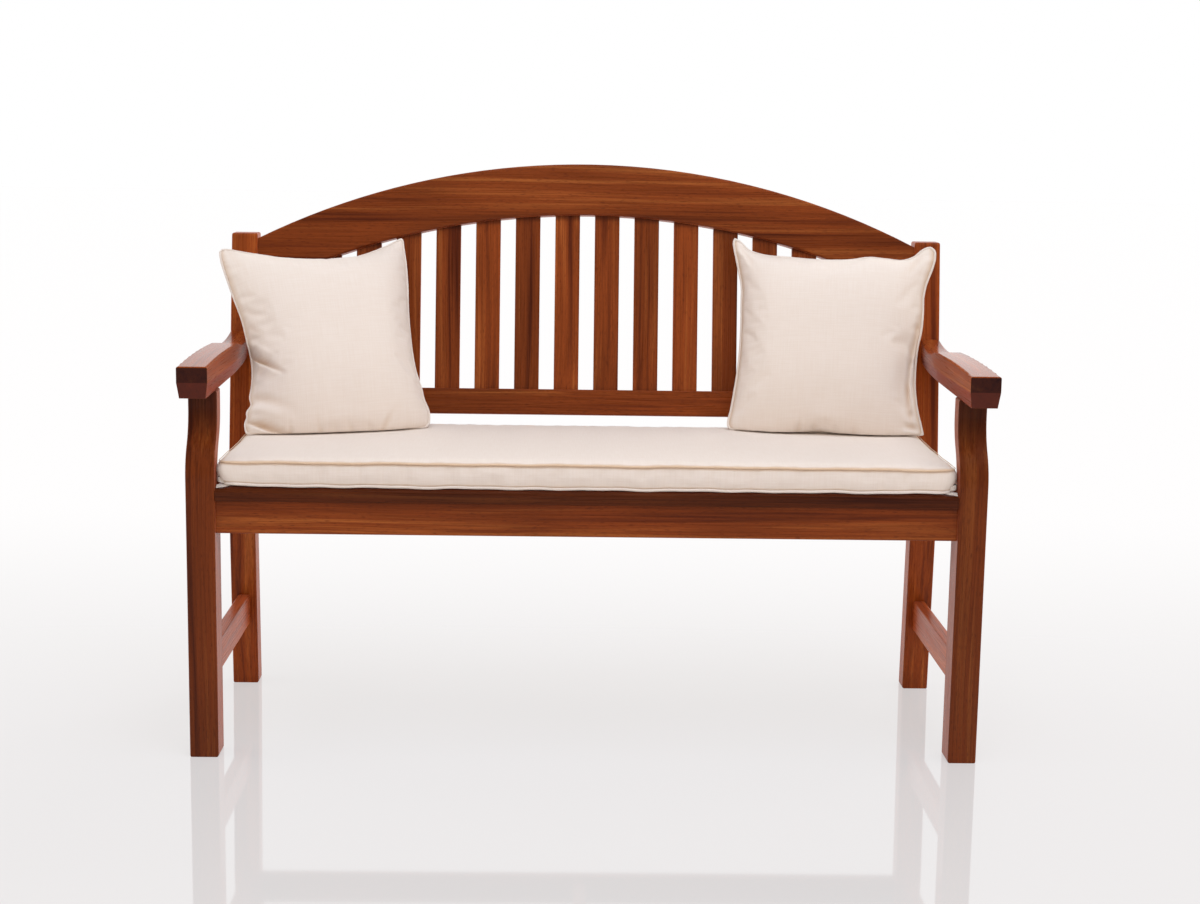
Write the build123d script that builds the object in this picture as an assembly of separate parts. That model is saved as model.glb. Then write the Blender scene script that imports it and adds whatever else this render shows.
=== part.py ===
from build123d import *
import math
import os

# A two-seat wooden garden bench with an arched slatted back, a loose seat cushion and two pillows.
# X runs left to right seen from the front, Y from front to back, Z up.
# Y is zero at the front of the front legs until the pieces are written out.

# Main sizes
frame_width = 1250.0
leg_width = 45.0
seat_height = 432.5
post_height = 800.0
soft_clearance = 0.3

# Back legs and the line of the back
back_leg_depth = 42.0
knee_front = 406.0
knee_height = 360.0
back_lean_degrees = 9.8
foot_splay_degrees = 3.3
knee_radius = 180.0
post_top_radius = 5.0
leg_easing = 3.0

# Front legs, a straight foot below and a curved neck under the arm
front_leg_depth = 54.0
neck_depth = 34.0
neck_setback = 36.0
neck_curve_start = 14.0
neck_curve_height = 106.0
shoulder_height = 42.0
neck_tenon_width = 25.0
neck_tenon_depth = 18.0
neck_tenon_length = 20.0

# Arms
arm_width = 47.0
arm_overhang = 45.0
arm_front_top = 627.5
arm_front_face = 49.0
arm_underside_rise = 10.0
arm_facet_drop = 24.5
arm_facet_degrees = 8.0
arm_crown_rise = 5.0
arm_crest_rise = 2.5
arm_dip_drop = 6.0
arm_post_rise = 3.5
arm_crest_distance = 310.0
arm_crest_radius = 60.0
arm_dip_distance = 440.0
arm_taper_distance = 235.0
arm_tail_inset = 13.0
arm_tail_drift = 2.0
arm_easing = 3.0
arm_tenon_width = 20.0
arm_tenon_height = 22.0
arm_tenon_length = 14.0
arm_tenon_rise = 10.0

# Arched top rail and lower back rail, measured up the slope from the knee
rail_thickness = 28.0
rail_recess = 5.0
arch_peak = 577.5
arch_depth = 90.0
arch_radius = 1284.0
arch_easing = 4.0
lower_rail_bottom = 134.0
lower_rail_depth = 45.0
rail_easing = 2.5
rail_tenon_length = 18.0
rail_tenon_thickness = 12.0
rail_tenon_shoulder = 8.0
arch_tenon_shoulder = 16.0

# Back slats
slat_count = 16
slat_width = 43.5
slat_thickness = 12.0
slat_end_gap = 33.0
slat_housing = 10.0
slat_easing = 2.0

# Seat rails
apron_height = 52.5
apron_thickness = 22.0
front_apron_recess = 9.0
rear_apron_inset = 14.0
apron_easing = 2.0
apron_tenon_length = 16.0
apron_tenon_thickness = 14.0
apron_tenon_shoulder = 6.0
side_tenon_length = 16.0
side_tenon_thickness = 12.0
centre_support_height = 45.0
centre_support_housing = 8.0

# Side stretchers
stretcher_bottom = 112.0
stretcher_height = 52.0
stretcher_thickness = 20.0
stretcher_tenon_shoulder = 8.0

# Seat slats, the first one the rounded nosing
seat_slat_thickness = 20.0
nosing_width = 70.0
nosing_gap = 0.5
nosing_front = 1.0
nosing_radius = 6.0
seat_slat_count = 5
seat_slat_gap = 8.0
seat_back_gap = 4.0
seat_slat_end_inset = 12.5
seat_slat_easing = 2.5

# Pegs and screws
peg_radius = 3.0
peg_front_cover = 9.0
peg_height_offset = 12.0
peg_edge_distance = 8.0
peg_inner_length = 32.0
screw_head_radius = 4.5
screw_head_height = 3.5
screw_shank_radius = 2.25
screw_length = 45.0
nosing_screw_inset = 150.0

# Seat cushion, a boxed cushion with a piped edge above and below
cushion_side_gap = 8.5
cushion_front = 3.0
cushion_depth = 410.0
cushion_base_rise = 4.5
cushion_base_inset = 12.0
cushion_box_height = 36.2
cushion_box_bulge = 2.0
cushion_crown = 6.0
cushion_corner_radius = 22.0
cushion_draws = (3.0, 3.0, 4.0, 4.0)
cushion_crown_insets = (0.0, 8.0, 20.0, 36.0, 54.0, 72.0)
cushion_crown_shares = (0.0, 0.36, 0.66, 0.87, 0.98, 1.0)

# Pillows, knife-edged with pointed corners; draws are for the left, right, top and bottom edges
pillow_thickness = 146.0
pillow_corner_radius = 9.0
pillow_size_shares = (1.0, 0.95, 0.86, 0.7, 0.48, 0.26, 0.1)
pillow_height_shares = (0.0, 0.25, 0.5, 0.75, 0.92, 0.985, 1.0)
pillow_corner_shares = (0.0, 0.1, 0.17, 0.2, 0.17, 0.09, 0.01)
pillow_draw_shares = (1.0, 0.85, 0.5, 0.1, -0.08, -0.1, -0.05)
pillow_left = {
    "width": 326.0,
    "height": 341.0,
    "draws": (22.0, 12.0, 24.0, 10.0),
    "side": 134.6,
    "standoff": 97.0,
    "turn": 17.9,
    "lean": 25.1,
    "roll": -2.2,
    "sink": 2.0,
}
pillow_right = {
    "width": 343.0,
    "height": 340.0,
    "draws": (16.0, 16.0, 24.0, 10.0),
    "side": 162.5,
    "standoff": 72.0,
    "turn": -7.0,
    "lean": 16.0,
    "roll": 0.6,
    "sink": 5.0,
}

# Places worked out from the sizes above
overrun = leg_width
frame_half = frame_width / 2
inner_half = frame_half - leg_width
leg_centre = frame_half - leg_width / 2
back_lean = math.radians(back_lean_degrees)
foot_splay = math.radians(foot_splay_degrees)
seat_underside = seat_height - seat_slat_thickness
apron_bottom = seat_underside - apron_height
arm_front = -arm_overhang
slat_recess = rail_recess + (rail_thickness - slat_thickness) / 2
lower_rail_top = lower_rail_bottom + lower_rail_depth
arch_underside = arch_peak - arch_depth
arm_front_underside = arm_front_top - arm_front_face
arm_back_underside = arm_front_underside + arm_underside_rise
arm_facet_height = arm_front_top - arm_facet_drop
arm_crown_top = arm_front_top + arm_crown_rise
arm_crest_top = arm_front_top + arm_crest_rise
arm_dip_top = arm_front_top - arm_dip_drop
arm_post_top = arm_front_top + arm_post_rise
cushion_half = inner_half - cushion_side_gap
cushion_bottom = seat_height + soft_clearance
cushion_top_piping = cushion_bottom + cushion_base_rise + cushion_box_height
cushion_top = cushion_top_piping + cushion_crown
back_plane = Plane(
    origin=(0, knee_front, knee_height),
    x_dir=(1, 0, 0),
    z_dir=(0, -math.cos(back_lean), math.sin(back_lean)),
)


def post_front(height):
    """Y of the back legs' front face at a height."""
    if height >= knee_height:
        return knee_front + (height - knee_height) * math.tan(back_lean)
    return knee_front + (knee_height - height) * math.tan(foot_splay)


def arm_underside(y):
    """Height of the arm's sloping underside at a distance from the front of the legs."""
    run = post_front(arm_back_underside) - arm_front
    return arm_front_underside + (y - arm_front) * (arm_back_underside - arm_front_underside) / run


def arc_height(x, peak):
    """Height up the slope of an arc of the arch, at a distance from the middle."""
    return peak - (arch_radius - math.sqrt(arch_radius**2 - x**2))


def box_between(x_pair, y_pair, z_pair):
    """Box from its low and high coordinates along each axis."""
    lows = [min(x_pair), min(y_pair), min(z_pair)]
    highs = [max(x_pair), max(y_pair), max(z_pair)]
    spans = [high - low for low, high in zip(lows, highs)]
    middle = [(high + low) / 2 for low, high in zip(lows, highs)]
    return Pos(*middle) * Box(*spans)


def back_board(x_pair, s_pair, recess, thickness):
    """Board lying along the back: X and slope limits, and its depth behind the posts' front."""
    flat = box_between(x_pair, s_pair, (-recess - thickness, -recess))
    return flat


def side_pieces(piece):
    """The right-hand piece and its mirror image on the left."""
    return piece, mirror(piece, about=Plane.YZ)


def reverse_curve(start, end):
    """Two equal arcs that leave both ends upright."""
    middle = ((start[0] + end[0]) / 2, (start[1] + end[1]) / 2)
    upward = 1 if end[1] > start[1] else -1
    return [
        TangentArc(start, middle, tangent=(0, upward)),
        TangentArc(end, middle, tangent=(0, -upward)),
    ]


def leg_prism(face):
    """Leg of an outline in Y and Z, at the right-hand end of the bench, with eased long edges."""
    prism = extrude(Plane.YZ.offset(inner_half) * face, amount=leg_width, dir=(1, 0, 0))
    groups = prism.edges().group_by(Axis.X)
    return fillet(groups[0] + groups[-1], leg_easing)


def back_leg():
    upper_depth = back_leg_depth / math.cos(back_lean)
    foot_depth = back_leg_depth / math.cos(foot_splay)
    outline = Polyline(
        (post_front(0), 0),
        (knee_front, knee_height),
        (post_front(post_height), post_height),
        (post_front(post_height) + upper_depth, post_height),
        (knee_front + upper_depth, knee_height),
        (post_front(0) + foot_depth, 0),
        close=True,
    )
    face = make_face(outline)
    face = fillet(face.vertices().group_by(Axis.Y)[1], knee_radius)
    face = fillet(face.vertices().group_by(Axis.Y)[-1], post_top_radius)
    return leg_prism(face)


def front_leg():
    curve_low = seat_height + neck_curve_start
    curve_high = curve_low + neck_curve_height
    neck_back = neck_setback + neck_depth
    front_top = (neck_setback, arm_underside(neck_setback))
    back_top = (neck_back, arm_underside(neck_back))
    shoulder_low = curve_low - shoulder_height
    outline = [
        Line((0, 0), (0, curve_low)),
        *reverse_curve((0, curve_low), (neck_setback, curve_high)),
        Line((neck_setback, curve_high), front_top),
        Line(front_top, back_top),
        Line(back_top, (neck_back, curve_high)),
        *reverse_curve((neck_back, curve_high), (neck_depth, curve_low)),
        *reverse_curve((neck_depth, curve_low), (front_leg_depth, shoulder_low)),
        Line((front_leg_depth, shoulder_low), (front_leg_depth, 0)),
        Line((front_leg_depth, 0), (0, 0)),
    ]
    leg = leg_prism(make_face(outline))
    tenon_middle = neck_setback + neck_depth / 2
    tenon = box_between(
        (leg_centre - neck_tenon_width / 2, leg_centre + neck_tenon_width / 2),
        (tenon_middle - neck_tenon_depth / 2, tenon_middle + neck_tenon_depth / 2),
        (curve_high, arm_underside(tenon_middle) + neck_tenon_length),
    )
    return leg + tenon


def arm():
    tail_end = post_front(arm_post_top)
    taper_start = arm_front + arm_taper_distance
    crest_y = arm_front + arm_crest_distance
    outer = inner_half + arm_width
    tail_inner = inner_half + arm_tail_inset
    tail_outer = outer - arm_tail_drift
    plan = make_face([
        Line((inner_half, arm_front), (inner_half, taper_start)),
        TangentArc((inner_half, taper_start), (tail_inner, tail_end), tangent=(0, 1)),
        Line((tail_inner, tail_end), (tail_outer, tail_end)),
        TangentArc((outer, crest_y), (tail_outer, tail_end), tangent=(0, 1)),
        Line((outer, crest_y), (outer, arm_front)),
        Line((outer, arm_front), (inner_half, arm_front)),
    ])
    at_facet = Pos(0, 0, arm_facet_height) * plan
    upper = extrude(at_facet, amount=arm_crown_top - arm_facet_height + overrun, dir=(0, 0, 1))
    lower = extrude(
        at_facet,
        amount=arm_facet_height - arm_front_underside + neck_depth,
        dir=(0, 0, -1),
        taper=arm_facet_degrees,
    )
    profile = make_face([
        Line((arm_front, arm_front_underside), (post_front(arm_back_underside), arm_back_underside)),
        Line((post_front(arm_back_underside), arm_back_underside), (tail_end, arm_post_top)),
        ThreePointArc(
            (tail_end, arm_post_top),
            (arm_front + arm_dip_distance, arm_dip_top),
            (crest_y, arm_crest_top),
        ),
        ThreePointArc((crest_y, arm_crest_top), (crest_y / 2, arm_crown_top), (arm_front, arm_front_top)),
        Line((arm_front, arm_front_top), (arm_front, arm_front_underside)),
    ])
    crest = [corner for corner in profile.vertices() if abs(corner.Y - arm_crest_top) < arm_easing / 10]
    profile = fillet(crest, arm_crest_radius)
    slab = extrude(
        Plane.YZ.offset(inner_half - overrun) * profile,
        amount=arm_width + overrun + overrun,
        dir=(1, 0, 0),
    )
    shaped = (upper + lower) & slab
    top_faces = shaped.faces().filter_by(lambda face: face.normal_at().Z > 1 / 2)
    rounded = [
        edge for face in top_faces for edge in face.edges()
        if edge.bounding_box().size.X < arm_width / 2 or edge.center().Y < taper_start
    ]
    shaped = fillet(ShapeList(rounded), arm_easing)
    tenon_low = arm_back_underside + arm_tenon_rise
    tenon_x = inner_half + (arm_tail_inset + arm_width - arm_tail_drift) / 2
    tenon = box_between(
        (tenon_x - arm_tenon_width / 2, tenon_x + arm_tenon_width / 2),
        (post_front(tenon_low) - arm_tenon_length, post_front(tenon_low) + arm_tenon_length),
        (tenon_low, tenon_low + arm_tenon_height),
    )
    return shaped + tenon


def arch_curve(peak):
    """One long arc of the arch, a weighted curve that follows the circle exactly."""
    reach = inner_half + overrun
    half_angle = math.asin(reach / arch_radius)
    end = arc_height(reach, peak)
    corner = peak - arch_radius + arch_radius / math.cos(half_angle)
    return Bezier((-reach, end), (0, corner), (reach, end), weights=[1, math.cos(half_angle), 1])


def arch_rail():
    top = arch_curve(arch_peak)
    low = arch_curve(arch_underside)
    face = make_face([top, Line(top @ 0, low @ 0), low, Line(top @ 1, low @ 1)])
    board = extrude(face, amount=rail_thickness, dir=(0, 0, 1))
    board = fillet([edge for edge in board.edges() if edge.length > inner_half], arch_easing)
    bottom = arc_height(inner_half + overrun, arch_underside)
    between_posts = box_between((-inner_half, inner_half), (bottom, arch_peak), (0, rail_thickness))
    board = Pos(0, 0, -rail_recess - rail_thickness) * (board & between_posts)
    tenon_top = arc_height(inner_half, arch_peak) - arch_tenon_shoulder
    tenon_low = arc_height(inner_half, arch_underside) + arch_tenon_shoulder
    return board + back_tenons((tenon_low, tenon_top))


def back_tenons(slope_pair):
    """The pair of end tenons of a back rail."""
    tenon_recess = rail_recess + (rail_thickness - rail_tenon_thickness) / 2
    right = back_board(
        (inner_half - rail_tenon_length, inner_half + rail_tenon_length),
        slope_pair,
        tenon_recess,
        rail_tenon_thickness,
    )
    return right + mirror(right, about=Plane.YZ)


def lower_rail():
    rail = back_board(
        (-inner_half, inner_half), (lower_rail_bottom, lower_rail_top), rail_recess, rail_thickness
    )
    rail = fillet(rail.edges().filter_by(Axis.X), rail_easing)
    slope_pair = (lower_rail_bottom + rail_tenon_shoulder, lower_rail_top - rail_tenon_shoulder)
    return rail + back_tenons(slope_pair)


def back_slat_blanks():
    """Square-edged blanks of the upright slats, left to right, housed in both rails."""
    span = inner_half + inner_half - slat_end_gap - slat_end_gap - slat_width
    slats = []
    for index in range(slat_count):
        x = span * (index / (slat_count - 1) - 1 / 2)
        near_edge = max(abs(x) - slat_width / 2, 0)
        top = arc_height(near_edge, arch_underside) + slat_housing
        slats.append(back_board(
            (x - slat_width / 2, x + slat_width / 2),
            (lower_rail_top - slat_housing, top),
            slat_recess,
            slat_thickness,
        ))
    return slats


def cross_apron(front):
    """Long seat rail between a pair of legs, with its end tenons."""
    rail = box_between(
        (-inner_half, inner_half), (front, front + apron_thickness), (apron_bottom, seat_underside)
    )
    rail = fillet(rail.edges().filter_by(Axis.X), apron_easing)
    middle = front + apron_thickness / 2
    tenons = box_between(
        (-inner_half - apron_tenon_length, inner_half + apron_tenon_length),
        (middle - apron_tenon_thickness / 2, middle + apron_tenon_thickness / 2),
        (apron_bottom + apron_tenon_shoulder, seat_underside - apron_tenon_shoulder),
    )
    return rail + tenons


def side_rail(bottom, height, thickness, shoulder, easing, leg):
    """Rail from a front leg to the face of a back leg, with its end tenons."""
    top = bottom + height
    rail = box_between(
        (leg_centre - thickness / 2, leg_centre + thickness / 2),
        (front_leg_depth, knee_front + back_leg_depth / 2),
        (bottom, top),
    )
    rail = fillet(rail.edges().filter_by(Axis.Y), easing) - leg
    back_end = post_front(bottom + height / 2)
    tenon = box_between(
        (leg_centre - side_tenon_thickness / 2, leg_centre + side_tenon_thickness / 2),
        (front_leg_depth - side_tenon_length, back_end + side_tenon_length),
        (bottom + shoulder, top - shoulder),
    )
    return rail + tenon


def centre_support(front, back):
    """Short rail under the middle of the seat slats, let into both long rails."""
    return box_between(
        (-apron_thickness / 2, apron_thickness / 2),
        (front - centre_support_housing, back + centre_support_housing),
        (seat_underside - centre_support_height, seat_underside),
    )


def seat_slats():
    """The nosing between the front legs, then the slats that lie on the side rails."""
    nosing = box_between(
        (-inner_half + nosing_gap, inner_half - nosing_gap),
        (nosing_front, nosing_front + nosing_width),
        (seat_underside, seat_height),
    )
    along = nosing.edges().filter_by(Axis.X)
    rounded = along.group_by(Axis.Y)[0].sort_by(Axis.Z)[-1]
    nosing = fillet(rounded, nosing_radius)
    nosing = fillet(nosing.edges().filter_by(Axis.X).group_by(Axis.Y)[-1], seat_slat_easing)
    slats = [nosing]
    start = nosing_front + nosing_width + seat_slat_gap
    end = post_front(seat_underside) - seat_back_gap
    width = (end - start - (seat_slat_count - 1) * seat_slat_gap) / seat_slat_count
    reach = frame_half - seat_slat_end_inset
    for index in range(seat_slat_count):
        low = start + index * (width + seat_slat_gap)
        slat = box_between((-reach, reach), (low, low + width), (seat_underside, seat_height))
        slats.append(fillet(slat.edges().filter_by(Axis.X), seat_slat_easing))
    return slats


def peg_along(start, end):
    """Round hardwood peg between two points."""
    line = Line(start, end)
    return Solid.make_cylinder(peg_radius, line.length, Plane(origin=start, z_dir=line % 0))


def tenon_pegs(rear_apron_front):
    """Pegs through the tenons, driven from the faces that the front doesn't show."""
    x = inner_half + peg_edge_distance
    high = apron_bottom + apron_height / 2 + peg_height_offset
    low = apron_bottom + apron_height / 2 - peg_height_offset
    rear_face = post_front(high) + back_leg_depth / math.cos(back_lean)
    arch_middle = (arc_height(inner_half, arch_peak) + arc_height(inner_half, arch_underside)) / 2
    rail_middle = (lower_rail_bottom + lower_rail_top) / 2
    front_y = front_leg_depth - peg_edge_distance
    back_y = post_front(low) + peg_edge_distance
    pegs = [
        peg_along((x, front_leg_depth, high), (x, peg_front_cover, high)),
        peg_along((x, rear_face, high), (x, rear_apron_front, high)),
        peg_along((inner_half, front_y, low), (inner_half + peg_inner_length, front_y, low)),
        peg_along((inner_half, back_y, low), (inner_half + peg_inner_length, back_y, low)),
    ]
    for slope in (arch_middle, rail_middle):
        flat = peg_along((x, slope, -back_leg_depth), (x, slope, -rail_recess))
        pegs.append(back_plane * flat)
    return pegs


def screw(x, y):
    """Countersunk screw, its head level with the top of the seat."""
    head = Cone(screw_shank_radius, screw_head_radius, screw_head_height)
    shank = Cylinder(screw_shank_radius, screw_length - screw_head_height)
    head_z = seat_height - screw_head_height / 2
    shank_z = seat_height - (screw_head_height + screw_length) / 2
    return Pos(x, y, head_z) * head + Pos(x, y, shank_z) * shank


def rounded_outline(width, height, radius, draws):
    """Four-sided outline with round corners, whose left, right, top and bottom sides curve inwards."""
    a = width / 2
    b = height / 2
    left, right, top, bottom = draws
    inner = radius * (1 - math.sqrt(1 / 2))
    edges = [
        ThreePointArc((-a, radius - b), (left - a, 0), (-a, b - radius)),
        ThreePointArc((a, radius - b), (a - right, 0), (a, b - radius)),
        ThreePointArc((radius - a, b), (0, b - top), (a - radius, b)),
        ThreePointArc((radius - a, -b), (0, bottom - b), (a - radius, -b)),
    ]
    for x_sign, y_sign in ((1, 1), (-1, 1), (-1, -1), (1, -1)):
        edges.append(ThreePointArc(
            (x_sign * (a - radius), y_sign * b),
            (x_sign * (a - inner), y_sign * (b - inner)),
            (x_sign * a, y_sign * (b - radius)),
        ))
    return make_face(edges)


def seat_cushion():
    width = cushion_half + cushion_half
    piping_low = cushion_bottom + cushion_base_rise

    def section(inset, z):
        outline = rounded_outline(
            width - inset - inset, cushion_depth - inset - inset, cushion_corner_radius, cushion_draws
        )
        return Pos(0, cushion_front + cushion_depth / 2, z) * outline

    base = loft([section(cushion_base_inset, cushion_bottom), section(0, piping_low)], ruled=True)
    box = loft([
        section(0, piping_low),
        section(-cushion_box_bulge, (piping_low + cushion_top_piping) / 2),
        section(0, cushion_top_piping),
    ])
    crown = loft([
        section(inset, cushion_top_piping + share * cushion_crown)
        for inset, share in zip(cushion_crown_insets, cushion_crown_shares)
    ])
    return base + box + crown


def pillow(place, side):
    """Pillow leaning on the back, flattened where it stands on the cushion."""
    shares = zip(pillow_size_shares, pillow_height_shares, pillow_corner_shares, pillow_draw_shares)
    half = loft([
        Pos(0, 0, height * pillow_thickness / 2) * rounded_outline(
            size * place["width"],
            size * place["height"],
            pillow_corner_radius + corner * place["width"],
            [draw * inward for inward in place["draws"]],
        )
        for size, height, corner, draw in shares
    ])
    whole = half + mirror(half, about=Plane.XY)
    rise = place["height"] / 2 * math.cos(math.radians(place["lean"])) - place["sink"]
    height = cushion_top + rise
    middle = (side * (inner_half - place["side"]), post_front(height) - place["standoff"], height)
    turned = Rot(Z=place["turn"]) * Rot(X=-place["lean"]) * Rot(Y=place["roll"]) * Rot(X=90) * whole
    placed = Pos(*middle) * turned
    return split(placed, bisect_by=Plane.XY.offset(cushion_top + soft_clearance), keep=Keep.TOP)


def build():
    """Every piece by name."""
    rear_apron_front = knee_front + rear_apron_inset
    pieces = {}
    blank_back_leg = back_leg()
    blank_front_leg = front_leg()
    front_apron = cross_apron(front_apron_recess)
    rear_apron = cross_apron(rear_apron_front)
    side_apron = side_rail(
        apron_bottom, apron_height, apron_thickness, apron_tenon_shoulder, apron_easing, blank_back_leg
    )
    stretcher = side_rail(
        stretcher_bottom,
        stretcher_height,
        stretcher_thickness,
        stretcher_tenon_shoulder,
        apron_easing,
        blank_back_leg,
    )
    support = centre_support(front_apron_recess + apron_thickness, rear_apron_front)
    blanks = back_slat_blanks()
    arch = back_plane * (arch_rail() - blanks)
    low_rail = back_plane * (lower_rail() - blanks)
    blank_arm = arm()
    right_pegs = tenon_pegs(rear_apron_front)

    # Screws hold the seat slats on the rails below
    seat = seat_slats()
    screws = [
        screw(x, front_apron_recess + apron_thickness / 2)
        for x in (nosing_screw_inset - inner_half, 0, inner_half - nosing_screw_inset)
    ]
    screws += [screw(x, slat.center().Y) for slat in seat[1:] for x in (-leg_centre, 0, leg_centre)]

    # Mortises and holes are cut by the pieces that enter them
    side_apron = side_apron - [*right_pegs, *screws]
    back_post = blank_back_leg - [rear_apron, side_apron, stretcher, arch, low_rail, blank_arm, *right_pegs]
    front_post = blank_front_leg - [front_apron, side_apron, stretcher, *right_pegs]
    pegs = [peg for right in right_pegs for peg in side_pieces(right)]
    pieces["front_leg_right"], pieces["front_leg_left"] = side_pieces(front_post)
    pieces["back_leg_right"], pieces["back_leg_left"] = side_pieces(back_post)
    pieces["arm_right"], pieces["arm_left"] = side_pieces(blank_arm - blank_front_leg)
    pieces["side_apron_right"], pieces["side_apron_left"] = side_pieces(side_apron)
    pieces["side_stretcher_right"], pieces["side_stretcher_left"] = side_pieces(stretcher)
    pieces["front_apron"] = front_apron - [support, *pegs, *screws]
    pieces["rear_apron"] = rear_apron - [support, *pegs]
    pieces["centre_seat_support"] = support - screws
    pieces["arched_top_rail"] = arch - pegs
    pieces["lower_back_rail"] = low_rail - pegs
    for index, blank in enumerate(blanks):
        slat = fillet(blank.edges().filter_by(Axis.Y), slat_easing)
        pieces[f"back_slat_{index + 1:02d}"] = back_plane * slat
    pieces["seat_nosing"] = seat[0] - screws
    for index, slat in enumerate(seat[1:]):
        pieces[f"seat_slat_{index + 1}"] = slat - screws
    pieces["tenon_pegs"] = Compound(pegs)
    pieces["seat_screws"] = Compound(screws)

    pieces["seat_cushion"] = seat_cushion()
    pieces["pillow_left"] = pillow(pillow_left, -1)
    pieces["pillow_right"] = pillow(pillow_right, 1)
    return pieces


pieces = build()

# The origin is on the floor, under the middle of the whole bench
bounds = Compound([pieces["arm_left"], pieces["arched_top_rail"]]).bounding_box()
to_origin = Pos(0, -(bounds.min.Y + bounds.max.Y) / 2, 0)
os.makedirs("parts", exist_ok=True)
for name, shape in pieces.items():
    export_step(to_origin * shape, f"parts/{name}.step")
print(len(pieces), "pieces, depth", round(bounds.max.Y - bounds.min.Y, 1), "shift", to_origin.position)
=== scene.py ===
import math

import bpy
import numpy as np
from mathutils import Matrix, Vector


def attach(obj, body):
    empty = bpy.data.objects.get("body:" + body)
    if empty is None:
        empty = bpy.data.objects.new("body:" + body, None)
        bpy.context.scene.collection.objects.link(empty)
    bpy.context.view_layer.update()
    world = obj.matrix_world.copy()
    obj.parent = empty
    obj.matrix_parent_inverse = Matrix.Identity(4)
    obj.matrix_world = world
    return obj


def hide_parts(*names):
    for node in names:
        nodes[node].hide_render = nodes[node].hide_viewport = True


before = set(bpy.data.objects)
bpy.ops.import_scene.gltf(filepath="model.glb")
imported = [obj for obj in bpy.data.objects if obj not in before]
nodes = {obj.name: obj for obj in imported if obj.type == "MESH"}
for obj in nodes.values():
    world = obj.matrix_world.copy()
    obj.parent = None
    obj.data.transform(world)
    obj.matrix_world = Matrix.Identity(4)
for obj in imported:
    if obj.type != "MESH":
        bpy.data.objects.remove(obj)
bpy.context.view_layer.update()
scene = bpy.context.scene
scene.view_settings.view_transform = "Standard"
print("frame loaded:", len(nodes), "wood, metal and soft nodes")


# colours and shader nodes

def linearColour(hexText, gain=1.0):
    # sRGB hex to linear, as a four-value colour; gain lightens or darkens it
    values = np.array([int(hexText[i:i + 2], 16) for i in (1, 3, 5)]) / 255
    linear = np.where(values <= 0.04045, values / 12.92, ((values + 0.055) / 1.055) ** 2.4)
    return (*(linear * gain).tolist(), 1.0)


def addNode(tree, kind, settings=None, inputs=None, stops=None):
    # one node: its settings, its inputs (a value, or another node's output to link) and its ramp stops
    node = tree.nodes.new("ShaderNode" + kind)
    for name, value in (settings or {}).items():
        setattr(node, name, value)
    for socket, value in (inputs or {}).items():
        if isinstance(value, bpy.types.NodeSocket):
            tree.links.new(value, node.inputs[socket])
        else:
            node.inputs[socket].default_value = value
    if stops:
        ramp = node.color_ramp.elements
        while len(ramp) < len(stops):
            ramp.new(0.5)
        for element, (place, colour) in zip(ramp, stops):
            element.position = place
            element.color = colour
    return node


def calculate(tree, operation, *values):
    return addNode(tree, "Math", {"operation": operation}, dict(enumerate(values))).outputs[0]


def remap(tree, value, fromLow, fromHigh, low=0.0, high=1.0, kind="SMOOTHSTEP"):
    # a value carried from one range to another and held at both ends
    return addNode(tree, "MapRange", {"interpolation_type": kind},
                   {0: value, 1: fromLow, 2: fromHigh, 3: low, 4: high}).outputs[0]


def mixed(tree, share, first, second, blend="MIX"):
    # share 0 gives the first colour and 1 the second
    return addNode(tree, "Mix", {"data_type": "RGBA", "blend_type": blend},
                   {0: share, 6: first, 7: second}).outputs[2]


def axisOf(tree, vector, letter):
    # a vector's X, Y or Z
    return addNode(tree, "SeparateXYZ", inputs={0: vector}).outputs[letter]


def noise(tree, vector, scale, detail, wobble=0.0):
    return addNode(tree, "TexNoise", inputs={
        "Vector": vector, "Scale": scale, "Detail": detail, "Distortion": wobble}).outputs["Fac"]


def dot(tree, first, second):
    return addNode(tree, "VectorMath", {"operation": "DOT_PRODUCT"}, {0: first, 1: second}).outputs["Value"]


def finishSurface(tree, inputs, relief, height, **under):
    # the shader with its bump; relief is the bump's strength and its depth in metres
    strength, depth = relief
    bump = addNode(tree, "Bump", inputs={"Strength": strength, "Distance": depth, "Height": height, **under})
    shader = addNode(tree, "BsdfPrincipled", inputs={**inputs, "Normal": bump.outputs[0]})
    addNode(tree, "OutputMaterial", inputs={"Surface": shader.outputs[0]})


def newMaterial(name):
    material = bpy.data.materials.new(name)
    material.use_nodes = True
    material.node_tree.nodes.clear()
    return material, material.node_tree


# camera: the place and turn that were solved from the photograph's edges

cameraPlan = {
    "eye": (-0.052359, -3.295859, 1.001501),
    "yaw": 0.0227137,  # in radians, as are pitch and roll
    "pitch": 0.1638176,
    "roll": 0.0155224,
    "lens": 59.8412,  # in millimetres, on a sensor this wide
    "sensor": 36.0,
}


def placeCamera(plan):
    yaw, pitch, roll = plan["yaw"], plan["pitch"], plan["roll"]
    ahead = np.array([math.sin(yaw) * math.cos(pitch), math.cos(yaw) * math.cos(pitch), -math.sin(pitch)])
    level = np.array([math.cos(yaw), -math.sin(yaw), 0.0])
    upright = np.cross(level, ahead)
    right = math.cos(roll) * level + math.sin(roll) * upright
    up = -math.sin(roll) * level + math.cos(roll) * upright
    turn = np.eye(4)
    turn[:3] = np.column_stack([right, up, -ahead, plan["eye"]])
    camera = bpy.data.objects.new("studioCamera", bpy.data.cameras.new("studioCamera"))
    camera.data.lens = plan["lens"]
    camera.data.sensor_width = plan["sensor"]
    scene.collection.objects.link(camera)
    camera.matrix_world = Matrix(turn.tolist())
    scene.camera = camera


placeCamera(cameraPlan)
print("camera placed")


# studio: soft world light, five soft boxes and a pale glossy floor

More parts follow.
